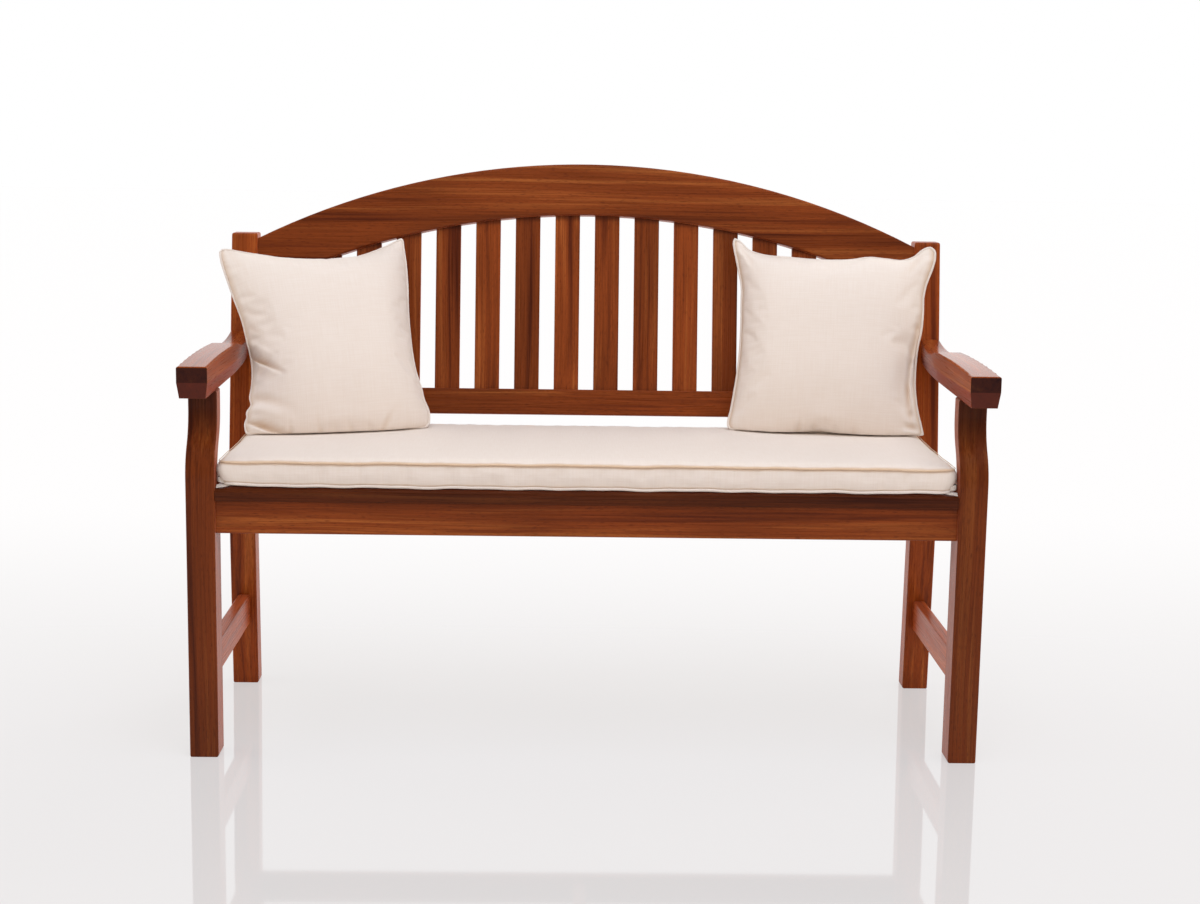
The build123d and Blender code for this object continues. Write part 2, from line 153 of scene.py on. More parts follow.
studioPlan = {
    "ambient": 0.50,
    "ambientColour": "#ffefe0",
    "frontGloss": 0.20,  # the room on the camera's side is dim, so that gloss there stays low
    "glossTurn": (0.10, 0.80),  # how far a mirrored view points back where the room turns from dim to white
    "boardWhite": 0.78,  # share of the floor's look that the camera sees as its own white
    "nearWhite": 0.80,  # that white in front of the bench, brightening towards the backdrop
    "fade": (-0.4, 1.9),  # where that brightening starts and ends, in metres along Y
    "boardColour": "#f0eeef",
    "glowColour": "#fffdfd",
    "glazeRoughness": 0.04,
    "glazeIndex": 1.45,
    "floorSize": 50.0,
    "lamps": (
        # name, place, aimed at, size, power and colour
        ("overheadBox", (0.3, -1.3, 3.4), (0.0, 0.0, 0.5), 2.6, 71.0, "#e3efff"),
        ("frontBox", (0.2, -4.0, 2.0), (0.0, 0.0, 0.4), 2.6, 26.0, "#ffe6cf"),
        ("backBox", (1.0, 2.9, 2.5), (0.2, 0.0, 0.6), 2.0, 40.0, "#ffffff"),
        ("leftBox", (-3.0, 0.3, 1.3), (0.0, 0.0, 0.5), 2.0, 21.0, "#ffffff"),
        ("rightBox", (3.0, 0.3, 1.3), (0.0, 0.0, 0.5), 2.0, 16.0, "#fff4ea"),
    ),
}


def lightRoom(plan):
    world = bpy.data.worlds.new("studioWorld")
    scene.world = world
    world.use_nodes = True
    tree = world.node_tree
    tree.nodes.clear()
    path = addNode(tree, "LightPath").outputs
    seen = calculate(tree, "MAXIMUM", path["Is Camera Ray"], path["Is Glossy Ray"])
    seen = calculate(tree, "MAXIMUM", seen, path["Is Transmission Ray"])
    light = addNode(tree, "Background", inputs={
        "Color": linearColour(plan["ambientColour"]), "Strength": plan["ambient"]})
    # the backdrop is white for the camera all round; gloss sees it white behind the bench and dim in front
    way = addNode(tree, "TexCoord").outputs["Generated"]
    behind = remap(tree, axisOf(tree, way, "Y"), *plan["glossTurn"], plan["frontGloss"])
    strength = calculate(tree, "MAXIMUM", behind, path["Is Camera Ray"])
    white = addNode(tree, "Background", inputs={"Color": linearColour("#ffffff"), "Strength": strength})
    both = addNode(tree, "MixShader", inputs={0: seen, 1: light.outputs[0], 2: white.outputs[0]})
    addNode(tree, "OutputWorld", inputs={"Surface": both.outputs[0]})

    for name, place, target, size, power, colour in plan["lamps"]:
        lamp = bpy.data.objects.new(name, bpy.data.lights.new(name, "AREA"))
        lamp.data.shape = "SQUARE"
        lamp.data.size = size
        lamp.data.energy = power
        lamp.data.color = linearColour(colour)[:3]
        lamp.visible_glossy = False  # the glossy floor and the wood mirror the white backdrop alone
        lamp.visible_camera = False
        lamp.location = place
        lamp.rotation_euler = (Vector(target) - Vector(place)).to_track_quat("-Z", "Y").to_euler()
        scene.collection.objects.link(lamp)


def layFloor(plan):
    bpy.ops.mesh.primitive_plane_add(size=plan["floorSize"])
    floor = bpy.context.object
    floor.name = floor.data.name = "studioFloor"
    material, tree = newMaterial("white glossy studio board")
    # glazed white board: soft light below and a clear mirror image that strengthens at low angles
    depth = axisOf(tree, addNode(tree, "TexCoord").outputs["Object"], "Y")
    path = addNode(tree, "LightPath").outputs
    seen = calculate(tree, "MAXIMUM", path["Is Camera Ray"], path["Is Glossy Ray"])
    # far behind the bench the board is all its own white, so that no horizon shows
    share = remap(tree, depth, *plan["fade"], plan["boardWhite"])
    body = addNode(tree, "BsdfDiffuse", inputs={"Color": linearColour(plan["boardColour"])})
    glow = addNode(tree, "Emission", inputs={
        "Color": linearColour(plan["glowColour"]),
        "Strength": remap(tree, depth, *plan["fade"], plan["nearWhite"])})
    lit = addNode(tree, "MixShader", inputs={
        0: calculate(tree, "MULTIPLY", seen, share), 1: body.outputs[0], 2: glow.outputs[0]})
    glaze = addNode(tree, "BsdfGlossy", inputs={
        "Color": linearColour("#ffffff"), "Roughness": plan["glazeRoughness"]})
    fresnel = addNode(tree, "Fresnel", inputs={"IOR": plan["glazeIndex"]})
    both = addNode(tree, "MixShader", inputs={0: fresnel.outputs[0], 1: lit.outputs[0], 2: glaze.outputs[0]})
    addNode(tree, "OutputMaterial", inputs={"Surface": both.outputs[0]})
    floor.data.materials.append(material)


lightRoom(studioPlan)
layFloor(studioPlan)
print("studio lit")


# oiled hardwood: reddish brown boards, planed, sanded and oiled to a satin sheen

hardwoodPlan = {
    "deep": "#531f0a",  # latewood bands
    "body": "#7f3a14",  # the board's own brown
    "pale": "#9b5425",  # earlywood, where the oil stays thin
    "endGrain": "#1a161b",  # sawn ends drink the oil and go dark
    "endUnderReflection": "#4e2c26",  # painted reflection: the undercut lower half of each end is lighter and redder, as if it caught the pale floor
    "undercut": ("#7d5a55", 4.0),  # painted reflection: greys the arms' undercut sides, which face down to the pale floor; the second value is its gain
    "worn": "#a5673f",  # rubbed arrises
    # sizes of the figure along and across the grain, in metres
    "bands": (0.95, 0.020),  # growth bands run the whole board, 20 mm apart on flat-sawn faces
    "streaks": (0.42, 0.0052),  # darker streaks inside them
    "fibres": (0.13, 0.0019),  # real fibres are near 0.5 mm; drawn at 1.9 mm so that they show
    "pores": (0.011, 0.0010),  # real pores are 0.2 mm wide; drawn at 1 mm so that they show
    "cloud": (0.30, 0.085),  # uneven oil
    "wander": (2.2, 0.016),  # the grain bends: turns per metre, and how far it strays, some 3 mm each way
    "legDepth": 4.0,  # the legs' streaks are deeper than wide, so that the curves don't cut them short
    "scatter": 3.0,  # each board's figure lies elsewhere in the log, up to this many metres off
    "bandWobble": 0.5,
    "streakShare": 0.45,  # the streaks' part in the figure, beside the bands' 1
    "figureStops": (0.12, 0.45, 0.62, 0.92),  # end of deep, start and end of body, start of pale
    "fibreShade": (0.84, 1.14),
    "cloudShade": (0.82, 1.16),
    "poreTone": 0.8,  # beside the latewood's
    # ranges: the start and end of what is measured, then the shares that they give, 0 and 1 if not said
    "figureRange": (0.42, 1.02),
    "noiseRange": (0.32, 0.68),  # nearly all of a noise lies in here
    "poreRange": (0.62, 0.76, 0.0, 0.45),
    "downRange": (-0.04, -0.12),  # the arms' sides and ends are undercut by 8 degrees
    "topRange": (0.75, 0.97),  # how level an arm's top is where hands polish it
    "endRange": (0.80, 0.97, 0.0, 0.85),  # how far along the grain a sawn end looks
    "arrisRange": (0.995, 0.86, 0.0, 0.30),
    "arris": 0.0014,  # sanded edges, 1.4 mm
    "roughness": (0.25, 0.37),  # between the shiny fibres and the dull ones
    "relief": (0.25, 0.0003),  # raised fibres and open pores: strength, and depth in metres
    "oilIndex": 1.5,
    "specular": 0.12,  # the dried oil film is thin: dull head on, bright at low angles
    "film": 0.07,  # the last coat of oil, wiped and buffed: a clear shine at low angles only
    "filmRoughness": 0.20,
    "rubbed": {"arm_left": 0.80, "arm_right": 1.0},  # the film on the arms' tops, polished by hands
    "armSpecular": 0.01,  # the arms' gloss is nearly all in their film
    "armFuzz": 0.18,
    "fuzz": 0.50,  # sanded fibres stand up a little and catch a red light at low angles
    "fuzzTint": "#ff8a66",
    "fuzzRoughness": 0.4,
    # painted shadow: where a board meets the one above, its top is darkened by the shade that falls there:
    # how much, how far down, and how far the board is let in
    "stains": {"back_slat": (0.50, 0.012, 0.010), "front_leg": (0.65, 0.085, 0.020)},
    "paintedShadowStart": 0.3,  # the painted shadow is full above this part of its reach
    "paintedShadowTone": 0.5,
}


def makeHardwood(node, plan, grain, seed, tone):
    # grain is the direction that the board was sawn along; the seed shifts the figure from board to board
    material, tree = newMaterial(node + " oiled hardwood")
    shift = np.random.default_rng(seed).uniform(-plan["scatter"], plan["scatter"], 3).tolist()
    turn = Vector(grain).to_track_quat("X", "Z")
    deep = plan["legDepth"] if "leg" in node else 1.0
    # of the figure's two ways across the grain, the one that runs front to back is drawn deeper
    ways = [turn @ Vector(axis) for axis in ((0, 1, 0), (0, 0, 1))]
    thick = [deep if abs(way.y) > abs(way.x) else 1.0 for way in ways]
    place = addNode(tree, "TexCoord").outputs
    turns, stray = plan["wander"]
    slow = addNode(tree, "TexNoise", inputs={"Vector": place["Object"], "Scale": turns, "Detail": 1.0})
    bent = addNode(tree, "VectorMath", {"operation": "MULTIPLY_ADD"},
                   {0: slow.outputs["Color"], 1: (stray, stray, stray), 2: place["Object"]})

    def figure(size, detail, wobble=0.0):
        # noise stretched along the grain; size is one streak's length and width in metres
        fitted = addNode(tree, "Mapping", {"vector_type": "TEXTURE"}, {
            "Vector": bent.outputs[0], "Location": shift,
            "Rotation": turn.to_euler(), "Scale": (size[0], size[1] * thick[0], size[1] * thick[1])})
        return noise(tree, fitted.outputs[0], 1.0, detail, wobble)

    def spread(value, low, high):
        return remap(tree, value, *plan["noiseRange"], low, high, "LINEAR")

    # the board's colour: bands and streaks through three browns, shaded by fibres and uneven oil
    bands = figure(plan["bands"], 2.0, plan["bandWobble"])
    streaks = figure(plan["streaks"], 2.0)
    fibres = figure(plan["fibres"], 1.0)
    pores = figure(plan["pores"], 0.0)
    cloud = figure(plan["cloud"], 1.0)
    both = calculate(tree, "MULTIPLY_ADD", streaks, plan["streakShare"], bands)
    both = remap(tree, both, *plan["figureRange"], kind="LINEAR")
    browns = [linearColour(plan[name], tone) for name in ("deep", "body", "body", "pale")]
    colour = addNode(tree, "ValToRGB", inputs={"Fac": both}, stops=list(zip(plan["figureStops"], browns)))
    for value, shades in ((fibres, plan["fibreShade"]), (cloud, plan["cloudShade"])):
        colour = addNode(tree, "VectorMath", {"operation": "SCALE"},
                         {0: colour.outputs[0], "Scale": spread(value, *shades)})
    dots = remap(tree, pores, *plan["poreRange"])
    colour = mixed(tree, dots, colour.outputs[0], linearColour(plan["deep"], tone * plan["poreTone"]))

    # the arms: greyer where they are undercut, a painted reflection of the pale floor; polished on top
    level = axisOf(tree, place["Normal"], "Z")
    down = remap(tree, level, *plan["downRange"], kind="LINEAR")
    film, specular, fuzz = plan["film"], plan["specular"], plan["fuzz"]
    if node in plan["rubbed"]:
        specular, fuzz = plan["armSpecular"], plan["armFuzz"]
        colour = mixed(tree, down, colour, linearColour(*plan["undercut"]), "MULTIPLY")
        film = remap(tree, level, *plan["topRange"], film, plan["rubbed"][node])
    # painted shadow: the slats' tops darken under the arched rail, and the front legs' necks under the arms
    for kind, (share, reach, letIn) in plan["stains"].items():
        if node.startswith(kind):
            edge = max(vertex.co.z for vertex in nodes[node].data.vertices) - letIn
            near = remap(tree, axisOf(tree, place["Object"], "Z"),
                         edge - reach, edge - reach * plan["paintedShadowStart"], 0.0, share)
            colour = mixed(tree, near, colour, linearColour(plan["deep"], tone * plan["paintedShadowTone"]))

    # sawn ends: where the surface looks along the grain, lighter on the undercut lower half as painted
    # reflection
    facing = calculate(tree, "ABSOLUTE", dot(tree, place["Normal"], Vector(grain).normalized()))
    sawn = mixed(tree, down, linearColour(plan["endGrain"]), linearColour(plan["endUnderReflection"]))
    colour = mixed(tree, remap(tree, facing, *plan["endRange"]), colour, sawn)

    # rubbed arrises: where a rounded edge's normal leaves the true one
    rounded = addNode(tree, "Bevel", {"samples": 4}, {"Radius": plan["arris"]}).outputs[0]
    bend = dot(tree, rounded, addNode(tree, "NewGeometry").outputs["True Normal"])
    colour = mixed(tree, remap(tree, bend, *plan["arrisRange"]), colour, linearColour(plan["worn"], tone))

    finishSurface(tree, {
        "Base Color": colour, "Roughness": spread(fibres, *plan["roughness"]), "IOR": plan["oilIndex"],
        "Specular IOR Level": specular,
        "Coat Weight": film, "Coat Roughness": plan["filmRoughness"], "Coat IOR": plan["oilIndex"],
        "Sheen Weight": fuzz, "Sheen Tint": linearColour(plan["fuzzTint"]),
        "Sheen Roughness": plan["fuzzRoughness"],
    }, plan["relief"], calculate(tree, "SUBTRACT", fibres, dots), Normal=rounded)
    return material


upright = (0.0, 0.0, 1.0)
across = (1.0, 0.0, 0.0)
deepways = (0.0, 1.0, 0.0)
leanAngle = math.radians(9.8)
backLean = (0.0, math.sin(leanAngle), math.cos(leanAngle))

# each board's grain direction and tone; the slats differ a little from one another
boards = {
    "arched_top_rail": (across, 0.93), "lower_back_rail": (across, 0.96),
    "front_apron": (across, 0.98), "rear_apron": (across, 0.95),
    "centre_seat_support": (deepways, 0.95), "seat_nosing": (across, 0.35),
}
# boards in pairs, with the left one's tone and the right one's; the back legs and side stretchers are toned
# up as painted light, for the light from behind the bench and the sheen on the stretchers' inner faces, the
# right stretcher most
pairs = {
    "front_leg": (upright, 0.73, 0.64), "back_leg": (backLean, 1.4, 1.45), "arm": (deepways, 1.15, 1.18),
    "side_apron": (deepways, 0.92, 0.95), "side_stretcher": (deepways, 1.5, 1.9),
}
for pair, (grain, left, right) in pairs.items():
    boards[pair + "_left"] = (grain, left)
    boards[pair + "_right"] = (grain, right)
backSlatTones = (0.90, 1.05, 0.86, 0.98, 0.84, 1.00, 0.88, 1.10, 1.02, 0.92, 1.06, 0.80, 0.94, 1.0, 1.07, 0.9)
for number, tone in enumerate(backSlatTones, 1):
    boards[f"back_slat_{number:02d}"] = (backLean, tone)
for number, tone in enumerate((0.93, 0.96, 0.99, 1.02, 1.05), 1):
    boards[f"seat_slat_{number}"] = (across, tone)


def dress(node, material):
    nodes[node].data.materials.clear()
    nodes[node].data.materials.append(material)


firstSeed = 11
for seed, (node, (grain, tone)) in enumerate(sorted(boards.items()), firstSeed):
    dress(node, makeHardwood(node, hardwoodPlan, grain, seed, tone))
print("boards oiled:", len(boards))


# pegs and screws: each surface is one fine noise in its colour, shine and relief

# roughness gives two values of the noise, then how rough the surface is at each
fixingPlans = {
    # hardwood dowels, sawn flush: dull end grain with dark flecks, which reads as a small round plug
    "tenon_pegs": {
        "surface": "flush cut dowel end grain",
        "scale": 1250.0,  # cut ends of fibres to the metre, 0.8 mm apart
        "detail": 2.0,
        "colours": ((0.35, "#43200f"), (0.65, "#7a4226")),
        "roughness": (0.0, 1.0, 0.45, 0.6),
        "relief": (0.3, 0.0002),
        "metal": 0.0,
    },
    # turned stainless steel: fine lathe scratches break the highlight up to a satin shine
    "seat_screws": {
        "surface": "turned stainless steel",
        "scale": 3500.0,  # scratches to the metre: real ones are 0.15 mm apart, these 0.29 mm and finer
        "detail": 3.0,
        "colours": ((0.3, "#a9a7a3"), (0.7, "#cfccc7")),
        "roughness": (0.3, 0.7, 0.22, 0.42),
        "relief": (0.15, 0.00005),
        "metal": 1.0,
    },
}


def makeFlecked(plan):
    material, tree = newMaterial(plan["surface"])
    flecks = noise(tree, addNode(tree, "TexCoord").outputs["Object"], plan["scale"], plan["detail"])
    stops = [(place, linearColour(colour)) for place, colour in plan["colours"]]
    finishSurface(tree, {
        "Base Color": addNode(tree, "ValToRGB", inputs={"Fac": flecks}, stops=stops).outputs[0],
        "Metallic": plan["metal"], "Roughness": remap(tree, flecks, *plan["roughness"], "LINEAR"),
    }, plan["relief"], flecks)
    return material


for node, fixingPlan in fixingPlans.items():
    dress(node, makeFlecked(fixingPlan))
print("pegs and screws finished")


# cream cloth: a plain-woven linen-look canvas with slubby yarns

clothPlan = {
    "yarn": "#ebe2da",
    "shade": "#e2d5c9",
    "yarnShare": 0.65,  # how much of the yarn's own colour covers the slubs' shade
    # painted shade at the seams and in the pillows' creases
    "seamShadeTan": "#c9a884",
    "thread": 0.0016,  # real yarns are 0.6 mm apart; drawn at 1.6 mm so that the weave shows
    "threadWobble": 0.6,
    "slub": (0.045, 0.0022),  # thicker stretches of yarn: length and width in metres
    "slubRange": (0.75, 1.25),
    "slubHeight": 0.8,  # beside the weave's 1
    "relief": (0.13, 0.0003),
    "roughness": (0.83, 0.93),
    "fuzz": 0.15,  # loose fibres brighten the cloth at low angles
    "fuzzRoughness": 0.5,
    "fibreIndex": 1.45,
}
weltTone = 0.92  # the welts are a little darker than the panels, and the tapes darker still, as painted shade where they lie under the cushion
tapeShadeTone = 0.72
waveRepeat = 0.314  # a wave node of scale 1 repeats in this many metres
# the top piping is the same cream cloth, painted tan for the shade that it sits in
pipingShadeColours = {"yarn": "#dfc6ac", "shade": "#d2b596"}


def makeCloth(name, plan, gain=1.0, seamDepth=0.0):
    # woven and slubby: a matt, faintly ribbed surface that takes light softly
    material, tree = newMaterial(name)
    # the piece's own map is its flat cut in metres, so that the threads follow the panel
    cut = addNode(tree, "UVMap", {"uv_map": "flatCut"}).outputs[0]
    yarn = linearColour(plan["yarn"], gain)

    def yarns(size):
        fitted = addNode(tree, "Mapping", {"vector_type": "TEXTURE"}, {"Vector": cut, "Scale": size})
        return noise(tree, fitted.outputs[0], 1.0, 1.0)

    length, width = plan["slub"]
    slubs = calculate(tree, "ADD", yarns((length, width, 1.0)), yarns((width, length, 1.0)))
    # each repeat of the wave is a thread on top and a thread below
    weave = calculate(tree, "ADD", *[addNode(tree, "TexWave", {"bands_direction": axis}, {
        "Vector": cut, "Scale": waveRepeat / plan["thread"] / 2, "Distortion": plan["threadWobble"],
        "Detail": 1.0, "Detail Scale": 2.0}).outputs["Fac"] for axis in ("X", "Y")])

    tint = remap(tree, slubs, *plan["slubRange"], kind="LINEAR")
    colour = mixed(tree, tint, linearColour(plan["shade"], gain), yarn)
    colour = mixed(tree, plan["yarnShare"], colour, yarn)
    # painted shade: the seams and the pillows' deep creases are darkened to tan, where shade falls on the
    # cloth
    seam = addNode(tree, "Attribute", {"attribute_name": "seamShade"}).outputs["Fac"]
    paintedSeamShade = calculate(tree, "MULTIPLY", seam, seamDepth)
    colour = mixed(tree, paintedSeamShade, colour, linearColour(plan["seamShadeTan"], gain))
    rough = remap(tree, slubs, *plan["slubRange"], *plan["roughness"], "LINEAR")
    finishSurface(tree, {
        "Base Color": colour, "Roughness": rough, "Sheen Weight": plan["fuzz"],
        "Sheen Roughness": plan["fuzzRoughness"], "IOR": plan["fibreIndex"],
    }, plan["relief"], calculate(tree, "MULTIPLY_ADD", slubs, plan["slubHeight"], weave))
    return material


canvas = makeCloth("cream linen canvas", clothPlan, seamDepth=0.75)
weltCloth = makeCloth("cream canvas welt", clothPlan, weltTone)
shadedTapeCloth = makeCloth("cream canvas tape in painted shade", clothPlan, tapeShadeTone)
shadedPipingCloth = makeCloth("cream canvas piping in painted tan shade", {**clothPlan, **pipingShadeColours})


# shared soft-goods tools

cutGap = 0.05  # space between the panels on the flat cut, in metres
clothMass = 0.3  # kilograms at each point, as the cloth solver counts it
shearShare = 0.4  # the weave shears more easily than it stretches
anyPhase = 6.3  # random waves start anywhere in their turn
cordSides = 12
cordWrinkles = (0.009, 0.013, 0.021)  # widths in metres
wrinkleHeight = 0.03  # as a share of the cord's radius


def randomWaves(rng, place, widths, least=0.4):
    # a sum of waves of random height and start, with these widths in metres
    return sum(rng.uniform(least, 1.0) * np.sin(place * 2 * np.pi / width + rng.uniform(0, anyPhase))
               for width in widths)


def inward(fromSide, fromEnd, reach):
    # 0 round the edge of a panel, rising to 1 over the reach
    return (1 - np.exp(-fromSide / reach)) * (1 - np.exp(-fromEnd / reach))


def unit(vectors):
    return vectors / np.linalg.norm(vectors, axis=1, keepdims=True)


def runOf(loop):
    # the distance round a closed loop, at the end of each of its steps
    return np.cumsum(np.linalg.norm(np.diff(np.vstack([loop, loop[:1]]), axis=0), axis=1))


def softPiece(name, points, faces, cut):
    # a smooth mesh with its flat cut in metres as its map, one place for each corner of each face
    mesh = bpy.data.meshes.new(name)
    mesh.from_pydata(points.tolist(), [], faces)
    mesh.uv_layers.new(name="flatCut").data.foreach_set("uv", cut.ravel())
    mesh.polygons.foreach_set("use_smooth", np.ones(len(mesh.polygons), bool))
    mesh.update()
    piece = bpy.data.objects.new(name, mesh)
    scene.collection.objects.link(piece)
    return piece


def panelGrid(columns, rows, halfWidth, halfHeight, radius):
    # a flat panel's points: their shares from -1 to 1, their places, and how far in from its edges they are
    s, t = np.meshgrid(np.linspace(-1, 1, columns), np.linspace(-1, 1, rows))
    x, y = s * halfWidth, t * halfHeight
    # within one radius of a corner, the square patch is pressed to a quarter disc:
    # each point keeps its direction and its larger offset becomes its distance
    px = np.maximum(np.abs(x) - (halfWidth - radius), 0) / radius
    py = np.maximum(np.abs(y) - (halfHeight - radius), 0) / radius
    far = np.maximum(np.hypot(px, py), 1e-9)
    shrink = np.where((px > 0) & (py > 0), np.maximum(px, py) / far, 1.0)
    newX = np.where(px > 0, halfWidth - radius + px * shrink * radius, np.abs(x))
    newY = np.where(py > 0, halfHeight - radius + py * shrink * radius, np.abs(y))
    fromSide, fromEnd = (1 - np.abs(s)) * halfWidth, (1 - np.abs(t)) * halfHeight
    return s, t, np.sign(x) * newX, np.sign(y) * newY, fromSide, fromEnd


def smoothThrough(place, given, values):
    # a smooth curve through given points: cubic pieces that share their slope where they meet
    given, values = np.asarray(given, float), np.asarray(values, float)
    slope = np.gradient(values, given)
    k = np.clip(np.searchsorted(given, place) - 1, 0, len(given) - 2)
    span = given[k + 1] - given[k]
    u = np.clip((place - given[k]) / span, 0, 1)
    return (values[k] * (1 + 2 * u) * (1 - u) ** 2 + slope[k] * span * u * (1 - u) ** 2
            + values[k + 1] * u ** 2 * (3 - 2 * u) + slope[k + 1] * span * u ** 2 * (u - 1))


def borderLoop(rows, columns):
    # indices round the edge of a grid, starting at its first corner
    index = np.arange(rows * columns).reshape(rows, columns)
    return np.concatenate([index[0, :-1], index[:-1, -1], index[-1, :0:-1], index[:0:-1, 0]])


def quadsOf(index):
    # the four corners of every cell of an index grid, as rows of a face table
    return np.stack([index[:-1, :-1], index[:-1, 1:], index[1:, 1:], index[1:, :-1]], -1).reshape(-1, 4)


def gridCut(across, up):
    # places on the flat cut for the corners of every cell of a grid: its columns at across, its rows at up
    cut = np.stack(np.meshgrid(across, up), -1).reshape(-1, 2)
    return cut[quadsOf(np.arange(len(cut)).reshape(len(up), -1))]


def sewnShell(name, top, bottom, band, cutSize):
    # two panels, grids of points over the same cut, sewn at their edges, with rows of a boxing band between:
    # band is an array (rows, points round the edge, 3), or None where the panels share one seam
    rows, columns = top.shape[:2]
    count = rows * columns
    edge = borderLoop(rows, columns)
    topIndex = np.arange(count).reshape(rows, columns)
    bottomIndex = np.full(count, -1)
    points = [top.reshape(-1, 3)]
    if band is None:
        bottomIndex[edge] = edge
        inside = np.setdiff1d(np.arange(count), edge)
        bottomIndex[inside] = count + np.arange(len(inside))
        points.append(bottom.reshape(-1, 3)[inside])
        bandFaces = np.zeros((0, 4), int)
    else:
        bottomIndex[:] = count + np.arange(count)
        points += [bottom.reshape(-1, 3), band.reshape(-1, 3)]
        between = 2 * count + np.arange(band.shape[0] * len(edge)).reshape(-1, len(edge))
        ring = np.vstack([edge, between, count + edge])
        ring = np.hstack([ring, ring[:, :1]])
        bandFaces = quadsOf(ring)[:, ::-1]
    topFaces = quadsOf(topIndex)
    bottomFaces = quadsOf(bottomIndex.reshape(rows, columns))[:, ::-1]
    faces = np.vstack([topFaces, bottomFaces, bandFaces])

    # the flat cut in metres: each panel by its grid, the band by the distance round it
    panelCut = gridCut(np.linspace(0, cutSize[0], columns), np.linspace(0, cutSize[1], rows))
    cuts = [panelCut, (panelCut + (cutSize[0] + cutGap, 0))[:, ::-1]]
    if band is not None:
        run = np.append(0, runOf(top.reshape(-1, 3)[edge]))
        drop = np.linspace(0, cutSize[2], band.shape[0] + 2) + cutSize[1] + cutGap
        cuts.append(gridCut(run, drop)[:, ::-1])
    return softPiece(name, np.vstack(points), faces.tolist(), np.concatenate(cuts)), edge


def readPoints(mesh):
    flat = np.empty(len(mesh.vertices) * 3)
    mesh.vertices.foreach_get("co", flat)
    return flat.reshape(-1, 3)


def writePoints(mesh, points):
    mesh.vertices.foreach_set("co", np.ascontiguousarray(points).ravel())
    mesh.update()


def swell(piece, held, plan):
    # the cloth swells under pressure with its seams held; each point may move no further than the cap
    start = readPoints(piece.data)
    group = piece.vertex_groups.new(name="seams")
    group.add([int(i) for i in held], 1.0, "REPLACE")
    cloth = piece.modifiers.new("swell", "CLOTH")
    settings = cloth.settings
    settings.quality = plan["quality"]
    settings.mass = clothMass
    settings.tension_stiffness = settings.compression_stiffness = plan["stretch"]
    settings.shear_stiffness = plan["stretch"] * shearShare
    settings.bending_stiffness = plan["bend"]
    settings.use_pressure = True
    settings.uniform_pressure_force = plan["pressure"]
    settings.shrink_min = settings.shrink_max = plan["slack"]
    settings.effector_weights.gravity = 0.0
    settings.vertex_group_mass = "seams"
    settings.pin_stiffness = 1.0
    for step in range(1, plan["frames"] + 1):
        scene.frame_set(step)
    shown = piece.evaluated_get(bpy.context.evaluated_depsgraph_get())
    moved = readPoints(shown.data) - start
    piece.modifiers.remove(cloth)
    piece.vertex_groups.remove(group)
    scene.frame_set(1)
    far = np.linalg.norm(moved, axis=1, keepdims=True)
    cap = plan["cap"]
    return start + moved * np.where(far > cap, cap / np.maximum(far, 1e-9), 1.0)


def smoothOnce(piece):
    # one subdivision, applied, so that the finished piece carries no live modifier
    finer = piece.modifiers.new("finer", "SUBSURF")
    finer.levels = finer.render_levels = 1
    shown = piece.evaluated_get(bpy.context.evaluated_depsgraph_get())
    mesh = bpy.data.meshes.new_from_object(shown)
    piece.modifiers.remove(finer)
    old = piece.data
    piece.data = mesh
    mesh.name = piece.name
    bpy.data.meshes.remove(old)


def pipingCord(name, path, radius, binormal, seed, cloth, share=1.0):
    # a round profile carried along a closed path, with small wrinkles in its cover;
    # share, one number or one for each point, thins it where the panels roll over it
    ahead = unit(np.roll(path, -1, 0) - np.roll(path, 1, 0))
    side = unit(np.cross(binormal, ahead))
    other = np.cross(ahead, side)
    run = runOf(path)
    length = run[-1]
    wholeWaves = [length / round(length / width) for width in cordWrinkles]
    waves = randomWaves(np.random.default_rng(seed), run, wholeWaves, 0.3)
    size = radius * (1 + wrinkleHeight * waves) * share
    angle = np.linspace(0, 2 * np.pi, cordSides, endpoint=False)
    circle = np.cos(angle)[:, None] * side[:, None] + np.sin(angle)[:, None] * other[:, None]
    ring = path[:, None] + size[:, None, None] * circle
    index = np.arange(ring.shape[0] * cordSides).reshape(-1, cordSides)
    index = np.vstack([index, index[:1]])
    index = np.hstack([index, index[:, :1]])
    faces = quadsOf(index)[:, ::-1]
    cut = gridCut(np.linspace(0, 2 * np.pi * radius, cordSides + 1), np.append(0, run))[:, ::-1, ::-1]
    piece = softPiece(name, ring.reshape(-1, 3), faces.tolist(), cut)
    piece.data.materials.append(cloth)
    return piece


def rideWith(body, *parts):
    for part in parts:
        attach(part, body)


def markSeamShade(piece, shade):
    # how much painted tan shade each point takes, 0 to 1, near the seams and in deep creases, kept on the
    # mesh for the cloth
    layer = piece.data.attributes.new("seamShade", "FLOAT", "POINT")
    layer.data.foreach_set("value", shade.astype(np.float32))


# seat cushion: a boxed cushion with a crowned top, a boxing band and two rows of piping

